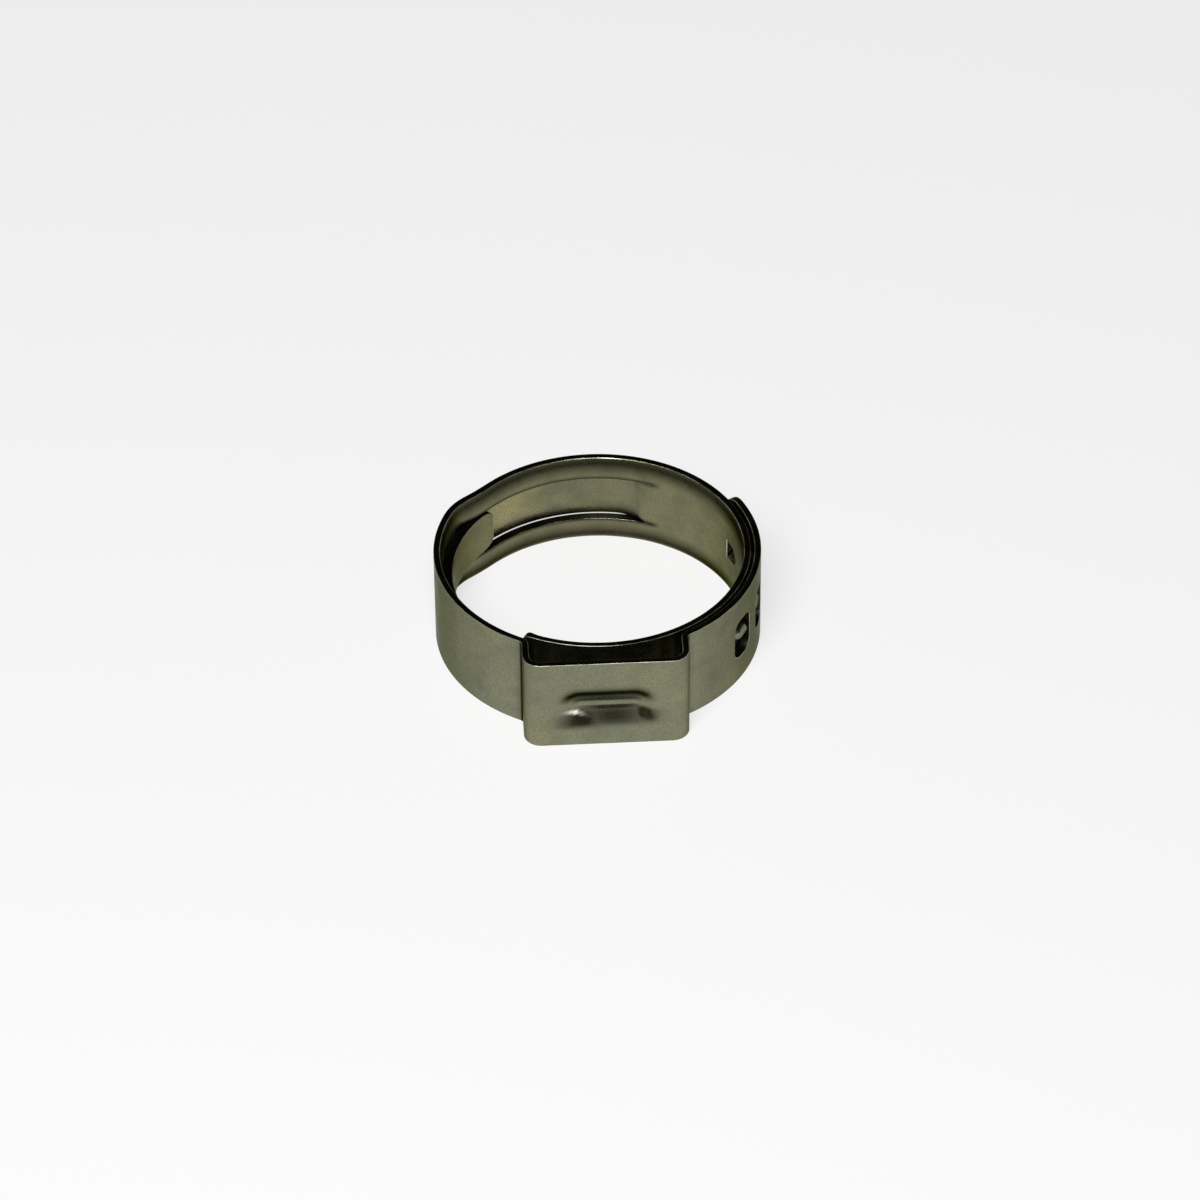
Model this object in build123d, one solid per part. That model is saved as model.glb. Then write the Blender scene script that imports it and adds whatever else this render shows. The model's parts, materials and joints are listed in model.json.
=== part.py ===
from build123d import *
import os
from math import acos, atan2, cos, degrees, radians, sin, sqrt, tan

# Stepless ear clamp for a hose: one strip of stainless steel, wound about 1.7 turns and folded into an ear.
# The origin is the middle of the bore, half-way up the strip. Z is the bore's axis and the ear points to -Y.
# Millimetres. Angles are in degrees, anticlockwise from +X as seen from +Z, so the ear is at 270.

# The strip
bore_diameter = 19.8
strip_width = 7.0
strip_thickness = 0.6
layer_gap = 0.08  # running gap between the two layers of the strip

# The ear
ear_inside_width = 10.0
ear_hollow_depth = 1.25  # from the inner layer to the inside of the ear's top, in the middle
ear_corner_radius = 1.2  # outside of the two top corners
leg_bend_radius = 0.35  # inside of the bend from the ring into each leg

# The boat-shaped dimple pressed into the ear's top, measured where its flanks would meet the flat
dimple_length = 6.7
dimple_width = 3.2
dimple_flank_angle = 25.0  # of the flanks to the ear's top
dimple_bottom_radius = 0.9
dimple_rim_radius = 0.8
dimple_offset = -0.45  # of its middle from the strip's middle, along Z

# The tongue, which is the inner end, and its shoulder
tongue_width = 3.2
tongue_tip_angle = 133.5
tongue_tip_length = 1.25  # along the strip, over which each corner of the tip is rounded
tongue_tip_drop = 0.75  # how far each corner is rounded in from the tongue's side
shoulder_lead = 0.15  # how far the full strip reaches past the ear's leg
shoulder_outer_radius = 0.6
shoulder_inner_radius = 0.5

# The channel that the tongue slides in, and the step of the strips beside it
channel_start_angle = 64.0
channel_clearance = 0.16  # between the tongue and each side strip
slit_width = 0.04
channel_ramp_radius = 3.5
step_start_angle = 133.5
step_first_radius = 20.0
step_second_radius = 4.0

# The outer end, its windows and the hooks of the inner layer
outer_end_angle = 392.0
outer_end_spring = 0.1  # how far the free end stands away from the inner layer
outer_end_radius = 1.5
window_angles = (329.1, 347.1, 377.5)
window_length = 2.1
window_height = 3.15
window_corner_radius = 0.75
hook_length = 1.25
hook_width = 1.05
hook_height = 0.62  # above the inner layer
hook_wall = 0.32  # drawn thinner than the strip
hook_setback = 0.28  # from the hook's mouth to the window's edge

# Worked out from the sizes above
half_turn = 180
near_enough = 0.001  # for picking out edges by where they are
bore_radius = bore_diameter / 2
inner_face = bore_radius + strip_thickness
inner_middle = bore_radius + strip_thickness / 2
outer_middle = inner_middle + strip_thickness + layer_gap
outer_face = outer_middle + strip_thickness / 2
channel_half = tongue_width / 2 + channel_clearance
ear_top_middle = inner_face + ear_hollow_depth + strip_thickness / 2
ear_top_face = ear_top_middle + strip_thickness / 2
leg_middle = (ear_inside_width + strip_thickness) / 2


def on_circle(radius, angle):
    """Point at a radius and an angle about the bore's axis."""
    return Vector(radius, 0).rotate(Axis.Z, angle)


def direction(vector):
    """Angle of a vector in the plane, from +X."""
    return degrees(atan2(vector.Y, vector.X))


def left_arc(centre, radius, start, end):
    """Arc about its own centre that turns anticlockwise from one angle to the other."""
    return CenterArc(centre, radius, start, (end - start) % 360)


def right_arc(centre, radius, start, end):
    """Arc about its own centre that turns clockwise from one angle to the other."""
    return CenterArc(centre, radius, start, -((start - end) % 360))


def step_span(first_radius, second_radius):
    """Angle about the bore that a step from the inner layer to the outer one takes."""
    near = inner_middle + first_radius
    far = outer_middle - second_radius
    bends = first_radius + second_radius
    return degrees(acos((near**2 + far**2 - bends**2) / (2 * near * far)))


def step_out(start, first_radius, second_radius):
    """Middle line of a step: a bend to the right off the inner circle, then a bend to the left onto the outer."""
    end = start + step_span(first_radius, second_radius)
    first_centre = on_circle(inner_middle + first_radius, start)
    second_centre = on_circle(outer_middle - second_radius, end)
    turn = direction(second_centre - first_centre)
    return [
        right_arc(first_centre, first_radius, start + half_turn, turn),
        left_arc(second_centre, second_radius, turn + half_turn, end),
    ]


def beside(edge, distance):
    """Line or arc that runs beside a middle line, to its left where the distance is positive."""
    points = [edge @ place + (edge % place).rotate(Axis.Z, 90) * distance for place in (0, 0.5, 1)]
    if edge.geom_type == GeomType.LINE:
        return Line(points[0], points[2])
    return ThreePointArc(*points)


def strip(middle_line, low, high):
    """Strip of metal that stands on edge along a middle line, from one height to another."""
    left = [beside(edge, strip_thickness / 2) for edge in middle_line]
    right = [beside(edge, -strip_thickness / 2) for edge in middle_line]
    ends = [Line(left[0] @ 0, right[0] @ 0), Line(left[-1] @ 1, right[-1] @ 1)]
    section = make_face(left + right + ends)
    return Pos(0, 0, low) * extrude(section, high - low, dir=(0, 0, 1))


def facing_out(angle, radius):
    """Place at an angle and a radius with X pointing outwards, Y along the ring and Z along the bore."""
    return Rot(0, 0, angle) * Pos(radius, 0, 0)


# The legs of the ear leave the ring in a bend that is tangent to the ring and to the leg
leg_bend = leg_bend_radius + strip_thickness / 2
leg_bend_x = leg_middle + leg_bend
leg_bend_y = -sqrt((outer_middle + leg_bend) ** 2 - leg_bend_x**2)
left_leg_angle = direction(Vector(-leg_bend_x, leg_bend_y)) % 360
right_leg_angle = direction(Vector(leg_bend_x, leg_bend_y)) % 360
corner = ear_corner_radius - strip_thickness / 2
corner_x = leg_middle - corner
corner_y = corner - ear_top_middle
shoulder_angle = left_leg_angle - degrees(shoulder_lead / inner_middle)
channel_end_angle = step_start_angle + step_span(step_first_radius, step_second_radius)

# The free end springs away on a slightly larger circle, tangent to the ring at the ear's right leg
spring_turn = cos(radians(outer_end_angle - right_leg_angle))
spring_radius = outer_middle + outer_end_spring / (1 - spring_turn)
spring_centre = on_circle(outer_middle - spring_radius, right_leg_angle)


def spring_middle(angle):
    """Radius of the outer layer's middle on the right, at an angle about the bore."""
    across = spring_centre.dot(on_circle(1, angle))
    return across + sqrt(across**2 - spring_centre.length**2 + spring_radius**2)


def ring_line():
    """Middle line of the full strip, from its shoulder to its outer end."""
    outer_end = on_circle(spring_middle(outer_end_angle), outer_end_angle)
    origin = Vector(0, 0)
    left_bend = Vector(-leg_bend_x, leg_bend_y)
    right_bend = Vector(leg_bend_x, leg_bend_y)
    left_corner = Vector(-corner_x, corner_y)
    right_corner = Vector(corner_x, corner_y)
    return [
        left_arc(origin, inner_middle, shoulder_angle, step_start_angle),
        *step_out(step_start_angle, step_first_radius, step_second_radius),
        left_arc(origin, outer_middle, channel_end_angle, left_leg_angle),
        right_arc(left_bend, leg_bend, left_leg_angle - 180, 0),
        Line((-leg_middle, leg_bend_y), (-leg_middle, corner_y)),
        left_arc(left_corner, corner, 180, 270),
        Line((-corner_x, -ear_top_middle), (corner_x, -ear_top_middle)),
        left_arc(right_corner, corner, 270, 0),
        Line((leg_middle, corner_y), (leg_middle, leg_bend_y)),
        right_arc(right_bend, leg_bend, 180, right_leg_angle - 180),
        left_arc(spring_centre, spring_radius, right_leg_angle, direction(outer_end - spring_centre)),
    ]


def corners(part, point, width):
    """Short edges across the strip's thickness at a point of its middle line, at both sides of a width."""
    spots = [Vector(point.X, point.Y, side * width / 2) for side in (-1, 1)]
    return [edge for edge in part.edges() if min((edge.center() - spot).length for spot in spots) < near_enough]


def ring():
    """Full strip with the opening of the channel and the rounded corners of its outer end."""
    line = ring_line()
    part = strip(line, -strip_width / 2, strip_width / 2)
    reach = 2 * outer_face
    opening = make_face([
        Line((0, 0), on_circle(reach, channel_start_angle)),
        ThreePointArc(
            on_circle(reach, channel_start_angle),
            on_circle(reach, (channel_start_angle + channel_end_angle) / 2),
            on_circle(reach, channel_end_angle),
        ),
        Line(on_circle(reach, channel_end_angle), (0, 0)),
    ])
    part -= Pos(0, 0, -channel_half) * extrude(opening, 2 * channel_half, dir=(0, 0, 1))
    return fillet(corners(part, line[-1] @ 1, strip_width), outer_end_radius)


def channel_floor():
    """Middle of the strip, pressed out to the outer layer's level between the two slits."""
    half = channel_half - slit_width
    ramp_end = channel_start_angle + step_span(channel_ramp_radius, channel_ramp_radius)
    line = [
        *step_out(channel_start_angle, channel_ramp_radius, channel_ramp_radius),
        left_arc(Vector(0, 0), outer_middle, ramp_end, channel_end_angle),
    ]
    return strip(line, -half, half)


def tip_corner(side):
    """What rounding takes off one corner of the tongue's tip: a block less a quarter of an ellipse."""
    block = Rectangle(tongue_tip_length, tongue_tip_drop, align=Align.MIN)
    kept = Pos(tongue_tip_length, 0) * Ellipse(tongue_tip_length, tongue_tip_drop)
    plane = Plane(origin=(0, 0, side * (tongue_width / 2 - tongue_tip_drop)), x_dir=(0, 1, 0), z_dir=(side, 0, 0))
    return extrude(plane * (block - kept), 2 * strip_thickness, both=True)


def tongue():
    """Narrow inner end of the strip, with rounded corners at its tip."""
    line = [left_arc(Vector(0, 0), inner_middle, tongue_tip_angle, shoulder_angle)]
    part = strip(line, -tongue_width / 2, tongue_width / 2)
    for side in (-1, 1):
        part -= facing_out(tongue_tip_angle, inner_middle) * tip_corner(side)
    return part


def dimple(half, radius):
    """Boat-shaped form with its flat side on Y = 0: straight flanks that meet in a rounded bottom."""
    across = radius * sin(radians(dimple_flank_angle))
    flank = (half - across) * tan(radians(dimple_flank_angle))
    depth = flank + radius * (1 - cos(radians(dimple_flank_angle)))
    bottom = ThreePointArc((flank, across), (depth, 0), (flank, -across))
    flanks = [Line((0, half), (flank, across)), Line((flank, -across), (0, -half))]
    section = make_face([bottom, *flanks, Line((0, -half), (0, half))])
    quarter = make_face([bottom.trim(0, 0.5), flanks[0], Line((depth, 0), (0, 0)), Line((0, 0), (0, half))])
    straight = dimple_length - dimple_width
    bar = extrude(Plane.YZ * section, straight / 2, both=True)
    end = revolve(Plane.YZ * quarter, Axis.Y, 360)
    return [bar, Pos(-straight / 2, 0, 0) * end, Pos(straight / 2, 0, 0) * end]


def pressed_ear(part):
    """Ear's top with the dimple pressed in at an even thickness."""
    half = dimple_width / 2
    inner_half = half + strip_thickness * tan(radians(dimple_flank_angle / 2))
    inner_level = strip_thickness - ear_top_face
    for form in dimple(inner_half, dimple_bottom_radius + strip_thickness):
        part += Pos(0, inner_level, dimple_offset) * form
    for form in dimple(half, dimple_bottom_radius):
        part -= Pos(0, -ear_top_face, dimple_offset) * form
    rims = dimple_rim(part, -ear_top_face, half) + dimple_rim(part, inner_level, inner_half)
    return fillet(rims, dimple_rim_radius)


def dimple_rim(part, level, half):
    """Edges round the dimple on one side of the ear's top."""
    reach = half + near_enough
    flat = part.edges().filter_by_position(Axis.Y, level - near_enough, level + near_enough)
    return flat.filter_by_position(Axis.Z, dimple_offset - reach, dimple_offset + reach)


def window(angle):
    """Round-cornered window through the outer layer alone."""
    outline = RectangleRounded(window_length, window_height, window_corner_radius)
    through = extrude(Plane.YZ * outline, 3 * strip_thickness, dir=(1, 0, 0))
    keep = Cylinder(inner_face + layer_gap / 2, 2 * strip_width)
    return facing_out(angle, inner_middle) * through - keep


def half_nose(radius, length):
    """Half of a round-ended rod that points back along the ring, with its mouth on Y = 0."""
    straight = length - radius
    outline = make_face([
        Line((0, 0), (radius, 0)),
        Line((radius, 0), (radius, -straight)),
        CenterArc((0, -straight), radius, 270, 90),
        Line((0, -length), (0, 0)),
    ])
    return Rot(0, -90, 0) * revolve(outline, Axis.Y, 180)


def stem(radius, length, depth):
    """Round-ended block that reaches a depth below a half nose."""
    straight = length - radius
    plan = Pos(-straight / 2, 0) * Rectangle(straight, 2 * radius) + Pos(-straight, 0) * Circle(radius)
    return extrude(Plane(origin=(-depth, 0, 0), x_dir=(0, 1, 0), z_dir=(1, 0, 0)) * plan, depth)


def hook(part, angle):
    """Hook lanced outwards: its closed back is towards the ear and its mouth towards the outer end."""
    outside = hook_width / 2
    inside = outside - hook_wall
    inside_length = hook_length - hook_wall
    axis_radius = inner_face + hook_height - outside
    mouth = angle + degrees((window_length / 2 - hook_setback) / axis_radius)
    place = facing_out(mouth, axis_radius)
    part += place * half_nose(outside, hook_length)
    part += place * stem(outside, hook_length, axis_radius - inner_middle)
    part -= place * half_nose(inside, inside_length)
    return part - place * stem(inside, inside_length, 2 * strip_thickness)


def clamp():
    """The whole clamp."""
    part = pressed_ear(ring())
    for angle in window_angles:
        part -= window(angle)
    for angle in window_angles:
        part = hook(part, angle)
    part += channel_floor()
    part += tongue()
    shoulder = on_circle(inner_middle, shoulder_angle)
    part = fillet(corners(part, shoulder, strip_width), shoulder_outer_radius)
    return fillet(corners(part, shoulder, tongue_width), shoulder_inner_radius)


os.makedirs("parts", exist_ok=True)
ear_clamp = clamp()
export_step(ear_clamp, "parts/ear_clamp.step")
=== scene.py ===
import json
from math import acos, cos, radians, sin, tan, tau

import bpy
import numpy as np
from mathutils import Matrix, Vector


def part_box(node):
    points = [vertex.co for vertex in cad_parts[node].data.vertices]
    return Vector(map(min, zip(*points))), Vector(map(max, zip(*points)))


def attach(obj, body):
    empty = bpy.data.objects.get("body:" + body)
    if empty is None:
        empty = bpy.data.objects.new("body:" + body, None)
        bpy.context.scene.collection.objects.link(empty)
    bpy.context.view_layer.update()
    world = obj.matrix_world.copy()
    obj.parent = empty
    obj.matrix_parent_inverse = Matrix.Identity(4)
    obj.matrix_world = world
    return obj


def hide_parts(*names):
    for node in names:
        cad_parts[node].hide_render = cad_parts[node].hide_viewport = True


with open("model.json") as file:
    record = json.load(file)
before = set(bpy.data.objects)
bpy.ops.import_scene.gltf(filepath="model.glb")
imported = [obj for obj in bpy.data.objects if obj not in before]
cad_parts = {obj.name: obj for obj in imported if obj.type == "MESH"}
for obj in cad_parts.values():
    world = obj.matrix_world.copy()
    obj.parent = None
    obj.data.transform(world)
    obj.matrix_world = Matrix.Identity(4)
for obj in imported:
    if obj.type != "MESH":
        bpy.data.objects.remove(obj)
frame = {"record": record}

bl_info = {
    "name": "Stepless ear clamp",
    "version": (1, 0, 0),
    "blender": (4, 5, 0),
    "location": "View3D > Sidebar > Ear Clamp",
    "description": "One strip of stainless steel wound, pressed and folded into a hose clamp with an ear",
    "category": "Add Mesh",
}

MM = 0.001
TINY = 1e-9  # a length or a curvature that counts as none
NODE = "ear_clamp"
PICTURE_MIDDLE = (0.111, -1.337, 0)  # the point in the middle of the picture, in millimetres
CAD_LOW, CAD_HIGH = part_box(NODE)
BORE_MOUNT = frame["record"]["mounts"][0]


# -------------------- the sizes and colours that a user changes

def length_prop(name, description, millimetres, lowest=0.0):
    """A length in metres, with its default and its lowest value given in millimetres."""
    return bpy.props.FloatProperty(
        name=name, description=description, default=millimetres * MM, min=lowest * MM, precision=5,
        subtype="DISTANCE", unit="LENGTH",
    )


def angle_prop(name, description, degrees):
    """An angle about the bore, with its default given in degrees; the ear is at 270."""
    return bpy.props.FloatProperty(
        name=name, description=description, default=radians(degrees), subtype="ANGLE", unit="ROTATION",
    )


def colour_prop(name, description, colour):
    """A linear colour without alpha."""
    return bpy.props.FloatVectorProperty(
        name=name, description=description, default=colour, size=3, min=0.0, max=1.0, subtype="COLOR",
    )


def share_prop(name, description, share):
    """A number from 0 to 1."""
    return bpy.props.FloatProperty(
        name=name, description=description, default=share, min=0.0, max=1.0, subtype="FACTOR",
    )


class ClampSizes(bpy.types.PropertyGroup):
    """Sizes of the strip and of what is pressed, cut and folded in it."""

    bore_radius: length_prop("Bore radius", "Inside of the ring", BORE_MOUNT["dims"]["r_mm"])
    width: length_prop("Strip width", "Along the bore", (CAD_HIGH.z - CAD_LOW.z) / MM)
    thickness: length_prop("Strip thickness", "Of the rolled strip", 0.6)
    layer_gap: length_prop("Layer gap", "Running gap between the two layers", 0.08)
    rolled_edge: length_prop("Rolled edge", "Rounding that shearing leaves on the bore's side", 0.08)
    sharp_edge: length_prop("Sharp edge", "Rounding of the outer side's edges", 0.04)
    rollover: length_prop("Rollover", "How far shearing draws back the edges of the bore's side", 0.15)
    rollover_reach: length_prop("Rollover reach", "How far in from the edge that starts", 1.2)

    ear_inside: length_prop("Ear width", "Between the insides of the ear's legs", 10.0)
    ear_hollow: length_prop("Ear hollow", "From the inner layer to the inside of the ear's top", 1.25)
    ear_corner: length_prop("Ear corner", "Outside radius of the ear's two top corners", 1.2)
    leg_bend: length_prop("Leg bend", "Inside radius of the bend from the ring into a leg", 0.35)
    dimple_length: length_prop("Dimple length", "Where its flanks would meet the ear's top", 6.7)
    dimple_width: length_prop("Dimple width", "Where its flanks would meet the ear's top", 3.2)
    dimple_flank: angle_prop("Dimple flank", "Slope of the flanks", 25.0)
    dimple_bottom: length_prop("Dimple bottom", "Radius between the flanks, outside", 0.9)
    dimple_rim: length_prop("Dimple rim", "Radius of the rim, outside", 0.8)
    dimple_offset: length_prop("Dimple offset", "Of its middle from the strip's", -0.45, lowest=-2.0)

    tongue_width: length_prop("Tongue width", "Of the narrow inner end", 3.2)
    tongue_tip: angle_prop("Tongue tip", "Where the inner end stops", 133.5)
    tip_length: length_prop("Tip length", "Along the strip, of the tip's rounded corners", 1.25)
    tip_drop: length_prop("Tip drop", "Across the strip, of the tip's rounded corners", 0.75)
    shoulder_lead: length_prop("Shoulder lead", "How far the full strip reaches past the leg", 0.15)
    shoulder_outer: length_prop("Shoulder outer radius", "Rounding of the shoulder", 0.6)
    shoulder_inner: length_prop("Shoulder inner radius", "Between the shoulder and the tongue", 0.5)

    channel_start: angle_prop("Channel start", "Where the two slits start", 64.0)
    channel_clearance: length_prop("Channel clearance", "Between the tongue and a side strip", 0.16)
    slit: length_prop("Slit", "Width of each slit", 0.015)
    ramp_radius: length_prop("Ramp radius", "Bends of the channel's closed end", 3.5)
    step_start: angle_prop("Step start", "Where the side strips start to step out", 133.5)
    step_first: length_prop("Step first radius", "Bend off the inner circle", 20.0)
    step_second: length_prop("Step second radius", "Bend onto the outer circle", 4.0)

    outer_end: angle_prop("Outer end", "Where the outer layer stops", 392.0)
    outer_spring: length_prop("Outer spring", "How far the free end stands away", 0.1)
    outer_corner: length_prop("Outer corner", "Radius of the free end's corners", 1.5)
    window_first: angle_prop("First window", "Middle of the window nearest the ear", 329.1)
    window_second: angle_prop("Second window", "Middle of the next window", 347.1)
    window_third: angle_prop("Third window", "Middle of the window nearest the free end", 377.5)
    window_length: length_prop("Window length", "Along the ring", 2.1)
    window_height: length_prop("Window height", "Along the bore", 3.15)
    window_corner: length_prop("Window corner", "Radius of a window's corners", 0.75)
    hook_length: length_prop("Hook length", "From the closed back to the mouth", 1.25)
    hook_width: length_prop("Hook width", "Outside of the half-round nose", 1.05)
    hook_height: length_prop("Hook height", "Above the inner layer", 0.62)
    hook_wall: length_prop("Hook wall", "Drawn thinner than the strip", 0.32)
    hook_setback: length_prop("Hook setback", "From the mouth to the window's edge", 0.28)
    hook_root: length_prop("Hook root", "Bend from the strip into the nose, in the metal's middle", 0.4)


class SteelFinish(bpy.types.PropertyGroup):
    """Colours and texture of the rolled stainless steel."""

    face: colour_prop("Face", "Rolled faces", (0.247, 0.255, 0.170))
    warm: colour_prop("Warm tint", "Where rubbing or oil has tinted a face", (0.42, 0.375, 0.16))
    # Colour of worn edges, and also of the painted glint in the dimple
    bright: colour_prop("Bright", "Where a tool or wear has burnished the steel", (0.85, 0.84, 0.76))
    # Sheared edges are darker than the faces, and kept near black partly as painted shade for the dark they
    # reflect
    cut: colour_prop("Cut edge", "Sheared edges of the strip", (0.05, 0.053, 0.04))
    stain: colour_prop("Stain", "Smudges", (0.13, 0.135, 0.105))
    # Colour of the painted shade in the dimple, the folds, along the slits and over the bore's side
    grime: colour_prop("Grime", "Dark film left in folds and pressed forms", (0.022, 0.021, 0.011))
    roughness: share_prop("Roughness", "Of a clean rolled face", 0.28)
    grain: length_prop("Grain", "Size of the finest speckle", 0.09)
    graze: colour_prop("Graze", "Tint of reflections at a low angle to the surface", (0.35, 0.36, 0.32))


class StudioSettings(bpy.types.PropertyGroup):
    """The floor, the lamps and the camera."""

    floor: colour_prop("Floor", "Pale floor", (0.94, 0.94, 0.94))
    glow: share_prop("Floor glow", "Share of the floor's seen brightness that is its own", 0.7)
    room: share_prop("Room", "Brightness of the room above the floor", 0.004)
    lamp: bpy.props.FloatProperty(
        name="Lamp", description="Power of the soft lamp", default=1.1, min=0.0,
        subtype="POWER", unit="POWER",
    )
    distance: length_prop("Camera distance", "From the middle of the picture", 400.0)
    elevation: angle_prop("Camera elevation", "Above the floor", 39.27)
    azimuth: angle_prop("Camera azimuth", "From in front of the ear, to the left", 2.78)
    roll: angle_prop("Camera roll", "Turn of the picture", -0.56)
    scale: bpy.props.FloatProperty(
        name="Picture scale", description="Picture widths per metre at the middle of the picture",
        default=14.597 / 1200 / MM, min=0.0,
    )


# -------------------- lines of the strip

SAMPLES = 4000  # points of a line that an angle is looked up on


class Chain:
    """A middle line made of arcs and straight runs, each tangent to the one before.

    Points are complex numbers. At a distance d into a piece that starts at p with heading h and curvature
    k, the point is p + e^(ih) (e^(ikd) - 1) / (ik), which tends to p + d e^(ih) as k goes to 0.
    """

    def __init__(self, start, heading, pieces, station=0.0):
        lengths, self.curvatures = (np.array(values, float) for values in zip(*pieces))
        turns = lengths * self.curvatures
        self.marks = station + np.concatenate([[0], np.cumsum(lengths)])
        self.headings = heading + np.concatenate([[0], np.cumsum(turns)])[:-1]
        moves = self._move(lengths, self.curvatures, self.headings)
        self.starts = start + np.concatenate([[0], np.cumsum(moves)])[:-1]

    @staticmethod
    def _move(distance, curvature, heading):
        bent = np.abs(curvature) > TINY
        safe = np.where(bent, curvature, 1.0)
        arc = (np.exp(1j * safe * distance) - 1) / (1j * safe)
        return np.exp(1j * heading) * np.where(bent, arc, distance)

    def at(self, station):
        """Point and outward normal (to the right of the way along), as complex numbers."""
        piece = np.clip(np.searchsorted(self.marks, station, side="right") - 1, 0, len(self.starts) - 1)
        distance = station - self.marks[piece]
        point = self.starts[piece] + self._move(distance, self.curvatures[piece], self.headings[piece])
        heading = self.headings[piece] + self.curvatures[piece] * distance
        return point, -1j * np.exp(1j * heading)


def step_pieces(low, high, first, second):
    """Two arcs that step from one circle about the bore out to a larger one, and the angle they take."""
    near, far, bends = low + first, high - second, first + second
    span = acos((near**2 + far**2 - bends**2) / (2 * near * far))
    opposite = acos((near**2 + bends**2 - far**2) / (2 * near * bends))
    return [(first * opposite, -1 / first), (second * (opposite + span), 1 / second)], span


class Lines:
    """The strip's own middle line, the channel floor's, and the stations of everything on them."""

    def __init__(self, s):
        half = s.thickness / 2
        inner = s.bore_radius + half
        outer = inner + s.thickness + s.layer_gap
        bend = s.leg_bend + half
        corner = s.ear_corner - half
        leg = (s.ear_inside + s.thickness) / 2
        top = s.bore_radius + s.thickness + s.ear_hollow + half
        bend_y = -((outer + bend) ** 2 - (leg + bend) ** 2) ** 0.5
        lean = np.arctan2(leg + bend, -bend_y)
        left, right = 3 * tau / 4 - lean, 3 * tau / 4 + lean
        fold = tau / 4 - lean
        self.inner, self.right = inner, right
        shoulder = left - s.shoulder_lead / inner
        steps, span = step_pieces(inner, outer, s.step_first, s.step_second)
        ramp, ramp_span = step_pieces(inner, outer, s.ramp_radius, s.ramp_radius)
        channel_end = s.step_start + span
        turn = cos(s.outer_end - right)
        spring_radius = outer + s.outer_spring / (1 - turn)
        spring_centre = (outer - spring_radius) * np.exp(1j * right)
        reach = self._along(spring_centre, spring_radius, s.outer_end)
        end_heading = np.angle(reach - spring_centre) - np.angle(np.exp(1j * right))
        spring_turn = end_heading % tau
        down = top - corner + bend_y
        pieces = [
            (inner * (tau + s.step_start - s.tongue_tip), 1 / inner),
            *steps,
            (outer * (left - channel_end), 1 / outer),
            (bend * fold, -1 / bend),
            (down, 0),
            (corner * tau / 4, 1 / corner),
            (2 * (leg - corner), 0),
            (corner * tau / 4, 1 / corner),
            (down, 0),
            (bend * fold, -1 / bend),
            (spring_radius * spring_turn, 1 / spring_radius),
        ]
        tip = inner * np.exp(1j * s.tongue_tip)
        self.strip = Chain(tip, s.tongue_tip + tau / 4, pieces)
        marks = self.strip.marks
        self.end = marks[-1]
        self.left_foot, self.left_leg, self.left_corner, self.top_left = marks[4:8]
        self.top_right, self.right_leg, self.right_bend, self.right_foot = marks[8:12]
        self.shoulder = inner * (shoulder - s.tongue_tip)
        self.channel = inner * (tau + s.channel_start - s.tongue_tip)
        self.step = marks[1]
        self.channel_end = marks[3]
        floor_pieces = [*ramp, (outer * (channel_end - s.channel_start - ramp_span), 1 / outer)]
        start = inner * np.exp(1j * s.channel_start)
        self.floor = Chain(start, s.channel_start + tau / 4, floor_pieces)
        self.ramp_end = self.channel + self.floor.marks[2]

    @staticmethod
    def _along(centre, radius, angle):
        """Point of a circle on the ray at an angle about the bore."""
        ray = np.exp(1j * angle)
        across = (centre * ray.conjugate()).real
        return ray * (across + (across**2 - abs(centre) ** 2 + radius**2) ** 0.5)

    def inner_station(self, s, angle):
        """Station on the inner layer's full circle."""
        return self.inner * (angle - s.tongue_tip)

    def outer_station(self, angle):
        """Station on the outer layer, right of the ear."""
        stations = np.linspace(self.right_foot, self.end, SAMPLES)
        point, _ = self.strip.at(stations)
        around = np.unwrap(np.angle(point))
        around += tau * round((self.right - around[0]) / tau)
        return float(np.interp(angle, around, stations))


# -------------------- forms of the strip

def spread(marks):
    """Stations between marks, evenly spaced in each gap by about the spacing of the mark before it."""
    marks = sorted(marks)
    runs = [
        np.linspace(low, high, max(1, round((high - low) / spacing)), endpoint=False)
        for (low, spacing), (high, _) in zip(marks, marks[1:])
        if high - low > TINY
    ]
    return np.concatenate([*runs, [marks[-1][0]]])


def rounded_end(along, across, length, drop):
    """Square corner of a plate carried onto its rounded corner, a quarter of an ellipse.

    along and across are distances in from the plate's end and side. In the corner's own square, with
    a = 1 - along / length and b = 1 - across / drop, a point goes to the quarter disc at radius max(a, b)
    and at an angle of 45 degrees times the smaller over the larger.
    """
    a = np.clip(1 - along / length, 0, 1)
    b = np.clip(1 - across / drop, 0, 1)
    large = np.maximum(a, b)
    turn = tau / 8 * np.divide(np.minimum(a, b), large, out=np.zeros_like(large), where=large > 0)
    on_end = np.where(a >= b, large * np.cos(turn), large * np.sin(turn))
    on_side = np.where(a >= b, large * np.sin(turn), large * np.cos(turn))
    inside = (along < length) & (across < drop)
    return np.where(inside, length * (a - on_end), 0), np.where(inside, drop * (b - on_side), 0)


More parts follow.
